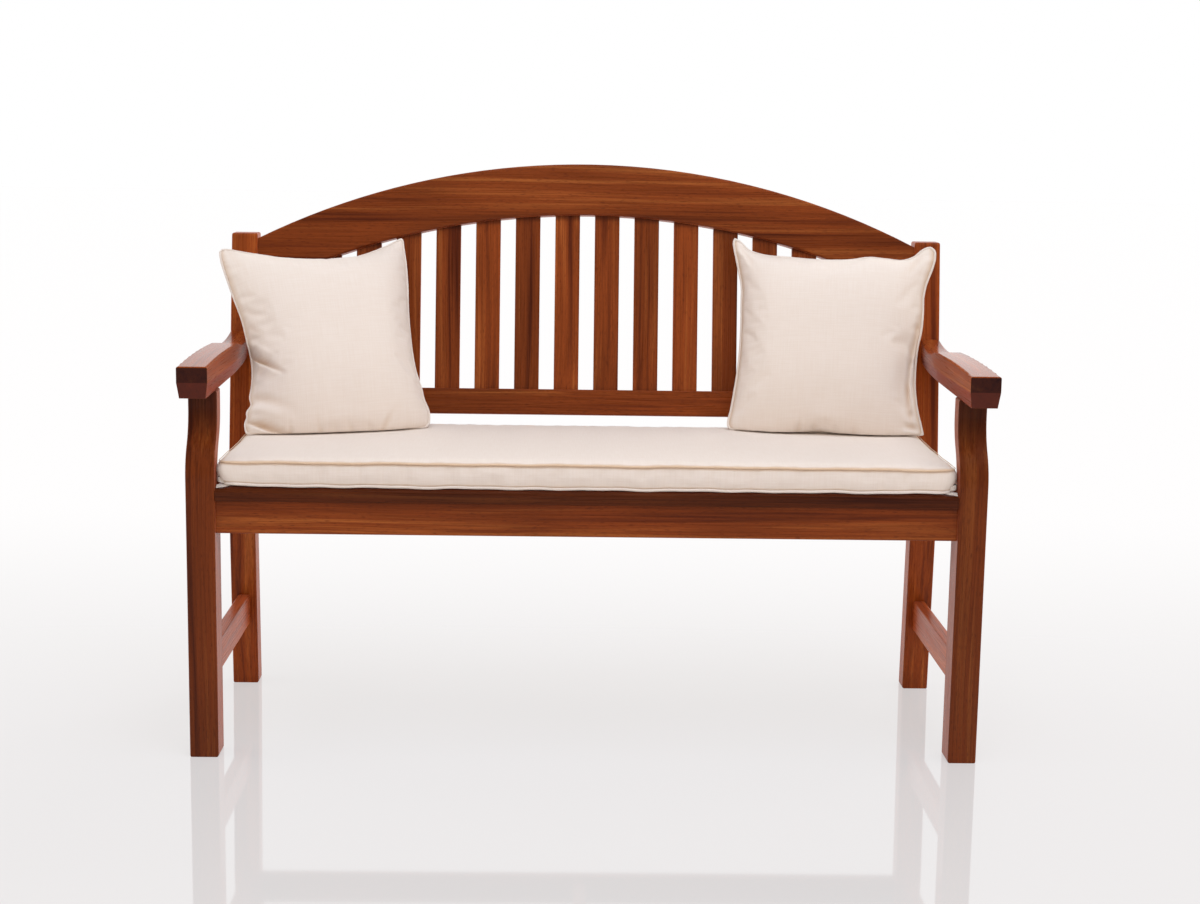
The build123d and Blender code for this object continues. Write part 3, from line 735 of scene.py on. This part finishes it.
cushionPlan = {
    "halfLength": 0.5700,
    "front": -0.2411,
    "back": 0.1659,
    "bottom": 0.4329,
    "lowPiping": 0.4368,
    "cornerLift": 0.0022,  # the low piping rises towards the ends
    "topPiping": 0.4735,
    "topWave": 0.0009,  # the piping runs a little up and down
    "lowWave": 0.0012,
    "lowPace": 1.3,  # its waves are shorter, so that they don't follow the top piping's
    "crown": 0.0050,
    "crownRun": 0.018,
    "corner": 0.024,
    "topSpread": 0.0060,  # the top panel is fuller than the bottom one at the ends
    "sideDraw": 0.003,
    "longDraw": 0.004,
    "highest": 0.4794,
    "cell": 0.0085,
    "bandRows": 5,
    "frontBulge": 0.0024,
    "sideBulge": 0.0048,
    "topPipingRadius": 0.0018,
    "lowPipingRadius": 0.0023,
    "band": 0.036,
    "fall": (9, 5),  # how sharply the draw rises towards the ends, and towards the front and back
    "bulgeFall": 0.7,  # how soon the ends' bulge fades round the corners
    "waver": ((0.087, 1.0), (0.151, 4.0), (0.230, 2.2)),  # the piping's waves: width in metres and start
    "waverReach": 0.012,
    "hemReach": 0.006,
    "gathers": (0.0006, 0.016, 0.004),  # at the piping: height, reach, and how soon they start, in metres
    "gatherWidths": (0.031, 0.047, 0.083),
    "puckers": 0.0007,  # along the band
    "puckerWidths": (0.034, 0.061, 0.11, 0.19),
    "pressed": 0.002,  # what would rise above the highest is pressed into this much
    "endShare": 0.35,  # the part of the top piping that stands clear at the ends
    "fill": 0.8,
    "seed": 5,
    "pipingSeed": 21,
    # how the cloth swells; the cap is the furthest that it may move, in metres
    "swell": {"quality": 4, "stretch": 12.0, "bend": 0.6, "pressure": 4.0, "slack": -0.012, "frames": 14,
              "cap": 0.005},
}


def seatCushion(plan):
    halfLength = plan["halfLength"]
    halfDepth = (plan["back"] - plan["front"]) / 2
    middle = (plan["back"] + plan["front"]) / 2
    columns = int(halfLength * 2 / plan["cell"]) + 1
    rows = int(halfDepth * 2 / plan["cell"]) + 1
    s, t, x, y, fromSide, fromEdge = panelGrid(columns, rows, halfLength, halfDepth, plan["corner"])
    endFall, frontFall = plan["fall"]
    x -= np.sign(s) * plan["sideDraw"] * (1 - t ** 2) * np.abs(s) ** endFall
    y -= np.sign(t) * plan["longDraw"] * (1 - s ** 2) * np.abs(t) ** frontFall

    def wavy(place, amount):
        waves = [np.sin(place * 2 * np.pi / width + start) for width, start in plan["waver"]]
        return amount / len(waves) * sum(waves)

    # shallow gathers where the panel is sewn into the piping
    rng = np.random.default_rng(plan["seed"])
    height, reach, begin = plan["gathers"]
    gathers = height * randomWaves(rng, x, plan["gatherWidths"])
    gathers *= np.exp(-fromEdge / reach) * (1 - np.exp(-fromEdge / begin))
    waver = (1 - inward(fromSide, fromEdge, plan["waverReach"])) * wavy(x + y, plan["topWave"])
    crown = plan["crown"] * inward(fromSide, fromEdge, plan["crownRun"])
    topX = x + np.sign(s) * plan["topSpread"] * np.abs(s) ** endFall
    top = np.stack([topX, y + middle, plan["topPiping"] + waver + crown + gathers], -1)
    hem = 1 - inward(fromSide, fromEdge, plan["hemReach"])
    lowEdge = plan["lowPiping"] + plan["cornerLift"] * s ** 4 + wavy(x * plan["lowPace"] - y, plan["lowWave"])
    bottom = np.stack([x, y + middle, plan["bottom"] + (lowEdge - plan["bottom"]) * hem], -1)

    edge = borderLoop(rows, columns)
    upper = top.reshape(-1, 3)[edge]
    lower = bottom.reshape(-1, 3)[edge]
    share = ((np.arange(plan["bandRows"]) + 1) / (plan["bandRows"] + 1))[:, None, None]
    step = np.roll(upper, -1, 0) - np.roll(upper, 1, 0)
    outward = unit(np.stack([step[:, 1], -step[:, 0], np.zeros(len(upper))], -1))
    puckers = plan["puckers"] * randomWaves(rng, runOf(upper), plan["puckerWidths"])
    ends = plan["sideBulge"] * np.abs(outward[:, 0]) ** plan["bulgeFall"]
    bulge = (plan["frontBulge"] + puckers + ends)[:, None] * np.sin(np.pi * share)
    band = upper * (1 - share) + lower * share + outward * bulge
    piece, edge = sewnShell("seat_cushion_cover", top, bottom, band,
                            (halfLength * 2, halfDepth * 2, plan["band"]))
    held = np.concatenate([edge, rows * columns + edge])
    points = swell(piece, held, plan["swell"])
    high, pressed = plan["highest"], plan["pressed"]
    near = points[:, 2] > high - pressed
    points[near, 2] = high - pressed * np.exp(-(points[near, 2] - high + pressed) / pressed)
    points[:, 2] = np.maximum(points[:, 2], plan["bottom"])
    writePoints(piece.data, points)
    # painted tan shade along both seams
    shade = np.zeros(len(points))
    shade[held] = 1.0
    markSeamShade(piece, shade)
    smoothOnce(piece)
    piece.data.materials.append(canvas)

    parts = [piece]
    # along the front and back the top piping stands clear; at the ends the panels roll over it
    clear = plan["endShare"] + (1 - plan["endShare"]) * outward[:, 1] ** 4
    for name, loop, radius, cloth, share in (
            ("seat_cushion_top_piping", edge, plan["topPipingRadius"], shadedPipingCloth, clear),
            ("seat_cushion_bottom_piping", rows * columns + edge, plan["lowPipingRadius"], weltCloth, 1.0)):
        path = points[loop] + outward * radius / 2
        parts.append(pipingCord(name, path, radius, upright, plan["pipingSeed"], cloth, share))
    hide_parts("seat_cushion")
    rideWith("cushion", *parts)


seatCushion(cushionPlan)
print("seat cushion sewn")


# ties: short tapes sewn into the cushion's front corners, which lie on the nosing against the legs

tiePlan = {
    "width": 0.008,
    "thickness": 0.0012,
    "clear": 0.00024,  # how far the tapes stay above the cushion's underside
    "rounding": (0.5, 0.8),  # of the tape's section, across its width and its thickness
    "steps": 25,
    "cut": (0.03, 0.02),  # the tape's length and the way round it, in metres
    # points of each tape at the right-hand corner, and the way its width lies there
    "tapes": (
        (((0.5560, -0.2300, 0.4370), (0.5650, -0.2385, 0.4365),
          (0.5720, -0.2400, 0.4362), (0.5775, -0.2390, 0.4350)),
         ((0.6, 0.8, 0.1), (0.3, 0.9, 0.25), (0.1, 0.9, 0.4), (0.0, 0.8, 0.6))),
        (((0.5600, -0.2290, 0.4395), (0.5700, -0.2340, 0.4440),
          (0.5768, -0.2300, 0.4450), (0.5780, -0.2080, 0.4450)),
         ((0.3, 0.5, 0.8), (0.2, 0.3, 1.0), (0.0, 0.2, 1.0), (0.0, 0.0, 1.0))),
    ),
}


def cushionTie(name, side, plan):
    # a flat tape: a thin rounded profile carried along a smooth curve through its points
    allPoints, allFaces, allCuts = [], [], []
    steps = plan["steps"]
    length, girth = plan["cut"]
    angle = np.linspace(0, 2 * np.pi, cordSides, endpoint=False)
    flatness, thinness = plan["rounding"]
    flat = np.sign(np.cos(angle)) * np.abs(np.cos(angle)) ** flatness * plan["width"] / 2
    thick = np.sign(np.sin(angle)) * np.abs(np.sin(angle)) ** thinness * plan["thickness"] / 2

    def smooth(given):
        places = np.linspace(0, 1, len(given))
        return np.stack([smoothThrough(np.linspace(0, 1, steps), places, line) for line in zip(*given)], -1)

    for pathPoints, widthWays in plan["tapes"]:
        curve, way = smooth(pathPoints), smooth(widthWays)
        ahead = unit(np.gradient(curve, axis=0))
        way = unit(way - ahead * (way * ahead).sum(1, keepdims=True))
        normal = np.cross(ahead, way)
        ring = curve[:, None] + flat[:, None] * way[:, None] + thick[:, None] * normal[:, None]
        start = sum(len(p) for p in allPoints)
        index = start + np.arange(steps * cordSides).reshape(steps, cordSides)
        index = np.hstack([index, index[:, :1]])
        allPoints.append(ring.reshape(-1, 3))
        allFaces.extend(quadsOf(index).tolist())
        allFaces.extend([index[0, :-1].tolist(), index[-1, -2::-1].tolist()])
        cut = gridCut(np.linspace(0, girth, cordSides + 1), np.linspace(0, length, steps))[..., ::-1]
        allCuts.append(cut.reshape(-1, 2))
        allCuts.append(np.zeros((2 * cordSides, 2)))
    points = np.vstack(allPoints)
    points[:, 2] = np.maximum(points[:, 2], plan["clear"] + cushionPlan["bottom"])
    points[:, 0] *= side
    faces = allFaces if side > 0 else [face[::-1] for face in allFaces]
    piece = softPiece(name, points, faces, np.concatenate(allCuts))
    piece.data.materials.append(shadedTapeCloth)
    rideWith("cushion", piece)


cushionTie("cushion_tie_left", -1, tiePlan)
cushionTie("cushion_tie_right", 1, tiePlan)
print("cushion ties sewn")


# loose pillows: two square panels sewn face to face with a piped edge, leaning on the back

pillowSeat = 0.4798  # where the pillows stand, just clear of the cushion's crown, in metres

# places in metres, turns in degrees
pillowPlans = {
    "pillow_left": {
        "body": "left_pillow",
        "centre": (-0.4454, 0.1104, 0.6319),
        "turn": 17.9, "lean": 25.1, "roll": -2.2,
        "width": 0.326, "height": 0.341,
        "corner": 0.008,
        "welt": 0.0020,
        "seamShadeShare": (0.7, 0.15, 0.05, 0.2),  # how much painted tan shade lies along each seam: left, right, top, bottom
        # how far each side is drawn in, in millimetres, at places from -1 to 1 along it
        "sides": {
            "left": ((-1, 9), (-0.92, 6), (-0.84, 7), (-0.79, 11), (-0.73, 12), (-0.67, 20), (-0.58, 20),
                     (-0.5, 24), (-0.28, 30), (0, 27), (0.25, 22), (0.45, 14), (0.7, 5), (0.88, 0), (1, 0)),
            "right": ((-1, 7), (-0.86, 4), (-0.7, 10), (-0.62, 11), (-0.45, 16), (0, 17), (0.25, 14),
                      (0.5, 9), (0.78, 6), (0.92, 6), (1, 5)),
            "top": ((-1, 3), (-0.9, 5), (-0.78, 10), (-0.52, 19), (-0.26, 28), (0.04, 32), (0.35, 31),
                    (0.52, 25), (0.75, 13), (0.9, 3), (1, -4)),
            "bottom": ((-1, 2), (-0.8, -6), (-0.4, -18), (0, -22), (0.5, -20), (0.85, -8), (1, 0)),
        },
        "thickness": 0.138,
        "seed": 31,
        "folds": (
            # start and end across and up the front panel, from -1 to 1, depth and half width in millimetres;
            # a negative depth is a ridge
            (-0.96, -0.20, -0.63, -0.41, 15, 5),
            (-0.94, -0.10, -0.66, -0.29, -4.5, 9.5),
            (-0.92, -0.36, -0.74, -0.46, 3, 11),
            (-0.94, 0.27, -0.76, 0.18, 2.2, 6),
            (-0.95, 0.12, -0.78, -0.02, 2.8, 6),
            (-0.98, -0.60, -0.57, -0.74, 4.5, 8),
            (-0.98, -0.72, -0.60, -0.84, -6, 9.5),
            (-0.99, -0.83, -0.60, -0.98, 12, 4.8),
            (-0.82, -0.87, -0.46, -0.99, 10, 4.5),
            (-0.53, -0.99, -0.55, -0.90, 6, 5),
            (-0.22, -0.99, -0.25, -0.90, 6.5, 5),
            (0.12, -0.99, 0.06, -0.91, 4, 5.5),
            (0.38, -0.99, 0.51, -0.86, 6, 5.5),
            (-0.90, 0.93, -0.84, 0.74, 2.2, 9),
            (0.46, 0.95, 0.40, 0.80, 2, 9),
        ),
    },
    "pillow_right": {
        "body": "right_pillow",
        "centre": (0.4175, 0.1364, 0.6379),
        "turn": -7.0, "lean": 16.0, "roll": 0.6,
        "width": 0.343, "height": 0.340,
        "corner": 0.011,
        "welt": 0.0024,
        "seamShadeShare": (1.0, 1.0, 0.1, 0.4),
        "sides": {
            "left": ((-1, 8), (-0.92, 6), (-0.78, 10), (-0.6, 14), (-0.4, 18), (-0.1, 21), (0.32, 20),
                     (0.54, 18), (0.66, 13), (0.8, 7), (0.92, 2), (1, 0)),
            "right": ((-1, 2), (-0.87, 7), (-0.72, 14), (-0.55, 19), (-0.2, 20), (-0.06, 18), (0.1, 13),
                      (0.3, 11), (0.47, 11), (0.6, 7), (0.74, -1), (0.86, -6), (1, -6)),
            "top": ((-1, -3), (-0.93, 5), (-0.85, 18), (-0.72, 26), (-0.45, 30), (0, 33), (0.2, 31),
                    (0.38, 26), (0.57, 28), (0.72, 29), (0.82, 22), (0.9, 9), (0.96, 4), (1, 4)),
            "bottom": ((-1, 2), (-0.8, -8), (-0.45, -16), (-0.25, -10), (-0.05, -4), (0.15, -10),
                       (0.5, -16), (0.85, -8), (1, 0)),
        },
        "thickness": 0.138,
        "seed": 47,
        "folds": (
            (0.960, 0.14, 0.865, -0.60, 11, 8.5),
            (0.865, -0.54, 0.900, -0.86, 8, 8),
            (0.80, -0.36, 0.76, -0.74, 3, 20),
            (0.80, -0.97, 0.98, -0.98, 8.5, 5.5),
            (0.84, -0.92, 0.97, -0.94, -5, 6),
            (0.86, -0.86, 0.99, -0.89, 7.5, 5.5),
            (0.96, -0.72, 0.84, -0.78, 3, 7),
            (-0.28, -0.98, -0.24, -0.86, 4.5, 6),
            (-0.10, -0.98, -0.10, -0.88, 3.5, 6),
            (0.30, -0.98, 0.28, -0.88, 3, 7),
            (-0.86, 0.86, -0.78, 0.70, 3, 9),
            (0.84, 0.86, 0.76, 0.66, 3.5, 11),
            (-0.55, 0.96, -0.52, 0.82, 1.8, 9),
        ),
    },
}

# what both pillows share
fillingPlan = {
    "points": 99,  # along each side of a panel
    "drawFall": 4.5,  # how sharply a side's draw rises towards the seam
    "fullness": 0.713,  # the thickness is (1 - s^3)(1 - t^3) to this power: full, and flat near the seam
    "sunk": 0.5,  # the same on the front's lower half, fuller, because the filling sinks
    "gathers": (0.0006, 0.016, 0.004),  # at the seams: height, reach, and how soon they start, in metres
    "gatherWidths": (0.019, 0.031, 0.052),
    "backGathers": 0.8,
    "foldRun": 1.8,  # folds fade out over this many half widths past their ends
    "foldFade": 0.75,  # and lose this share of their depth along their length
    "ridge": 0.8,  # how high the cloth stands beside a fold, 0 for not at all
    "seamReach": 0.009,  # the painted tan shade reaches this far from the seam, in metres
    "creaseFull": 0.012,  # folds this deep, in metres, hold the full painted shade of a crease
    "creaseShade": 0.8,
    "foot": 0.004,  # what would sink below the seat is pressed into this much above it
    "fill": 0.7,
    "cloth": {"quality": 5, "stretch": 12.0, "bend": 4.0, "pressure": 4.0, "slack": -0.006, "frames": 14,
              "cap": 0.006},
}


def turnTable(plan):
    # the pillow stands up, rolls in its own plane, leans back, then turns about the upright
    def about(axis, degrees):
        return np.array(Matrix.Rotation(math.radians(degrees), 3, axis))
    return about("Z", plan["turn"]) @ about("X", -plan["lean"]) @ about("Y", plan["roll"]) @ about("X", 90)


def foldDepth(x, y, folds, halfWidth, halfHeight, form):
    # each fold is a crease along a segment: a valley with a soft ridge on both sides, fading at its ends
    depth = np.zeros_like(x)
    for fromX, fromY, toX, toY, *size in folds:
        deep, wide = np.array(size) / 1000
        start = np.array([fromX * halfWidth, fromY * halfHeight])
        along = np.array([toX * halfWidth, toY * halfHeight]) - start
        length = np.linalg.norm(along)
        along /= length
        run = (x - start[0]) * along[0] + (y - start[1]) * along[1]
        off = (x - start[0]) * along[1] - (y - start[1]) * along[0]
        beyond = np.maximum(np.maximum(-run, run - length), 0)
        fade = np.exp(-(beyond / (wide * form["foldRun"])) ** 2)
        fade *= 1 - form["foldFade"] * np.clip(run / length, 0, 1) ** 2
        ratio = (off / wide) ** 2
        depth -= deep * (1 - form["ridge"] * ratio) * np.exp(-ratio) * fade
    return depth


def settle(piece, points, reach):
    # what would sink below the seat is pressed into a thin layer above it: an exponential foot
    z = points[:, 2]
    foot = pillowSeat + reach * np.exp(np.minimum(z - pillowSeat - reach, 0) / reach)
    points[:, 2] = np.where(z < pillowSeat + reach, foot, z)
    writePoints(piece.data, points)


def loosePillow(name, plan, form):
    halfWidth, halfHeight = plan["width"] / 2, plan["height"] / 2
    count = form["points"]
    s, t, x, y, fromSide, fromEnd = panelGrid(count, count, halfWidth, halfHeight, plan["corner"])
    draw = {side: smoothThrough(t if side in ("left", "right") else s, *np.array(points).T) / 1000
            for side, points in plan["sides"].items()}
    x -= np.sign(s) * np.where(s < 0, draw["left"], draw["right"]) * np.abs(s) ** form["drawFall"]
    y -= np.sign(t) * np.where(t < 0, draw["bottom"], draw["top"]) * np.abs(t) ** form["drawFall"]
    fullness = form["fullness"]
    acrossFull = (1 - np.abs(s) ** 3) ** fullness * plan["thickness"] / 2
    full = acrossFull * (1 - np.abs(t) ** 3) ** fullness
    belly = acrossFull * (1 - np.abs(t) ** 3) ** np.where(t < 0, form["sunk"], fullness)

    # the gathers run along each edge and die out near it
    rng = np.random.default_rng(plan["seed"])
    height, reach, begin = form["gathers"]
    rise = inward(fromSide, fromEnd, begin)
    gathers = np.exp(-fromSide / reach) * randomWaves(rng, y, form["gatherWidths"])
    gathers += np.exp(-fromEnd / reach) * randomWaves(rng, x, form["gatherWidths"])
    gathers *= rise * height
    turn = turnTable(plan)
    centre = np.array(plan["centre"])

    def placed(depth):
        return np.stack([x, y, depth], -1) @ turn.T + centre

    back = placed(-full + gathers * form["backGathers"])
    piece, edge = sewnShell(name + "_cover", placed(belly + gathers), back, None,
                            (plan["width"], plan["height"]))
    settle(piece, readPoints(piece.data), form["foot"])
    points = swell(piece, edge, form["cloth"])
    folds = foldDepth(s * halfWidth, t * halfHeight, plan["folds"], halfWidth, halfHeight, form) * rise
    points[:count * count] += folds.reshape(-1, 1) * turn[:, 2]
    settle(piece, points, form["foot"])
    # painted tan shade along the seams and in the folds' valleys
    shade = np.zeros(len(points))
    showLeft, showRight, showTop, showBottom = plan["seamShadeShare"]
    atSide = np.clip(1 - fromSide / form["seamReach"], 0, 1) * np.where(s < 0, showLeft, showRight)
    atEnd = np.clip(1 - fromEnd / form["seamReach"], 0, 1) * np.where(t < 0, showBottom, showTop)
    crease = form["creaseShade"] * np.clip(-folds / form["creaseFull"], 0, 1)
    near = np.maximum(np.maximum(atSide, atEnd), crease)
    shade[:count * count] = near.ravel()
    markSeamShade(piece, shade)
    smoothOnce(piece)
    piece.data.materials.append(canvas)
    cord = pipingCord(name + "_piping", points[edge], plan["welt"], turn[:, 2], plan["seed"], weltCloth)
    cordPoints = readPoints(cord.data)
    cordPoints[:, 2] = np.maximum(cordPoints[:, 2], pillowSeat)
    writePoints(cord.data, cordPoints)
    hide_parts(name)
    rideWith(plan["body"], piece, cord)


for pillowName, pillowPlan in pillowPlans.items():
    loosePillow(pillowName, pillowPlan, fillingPlan)
    print(pillowName, "filled")
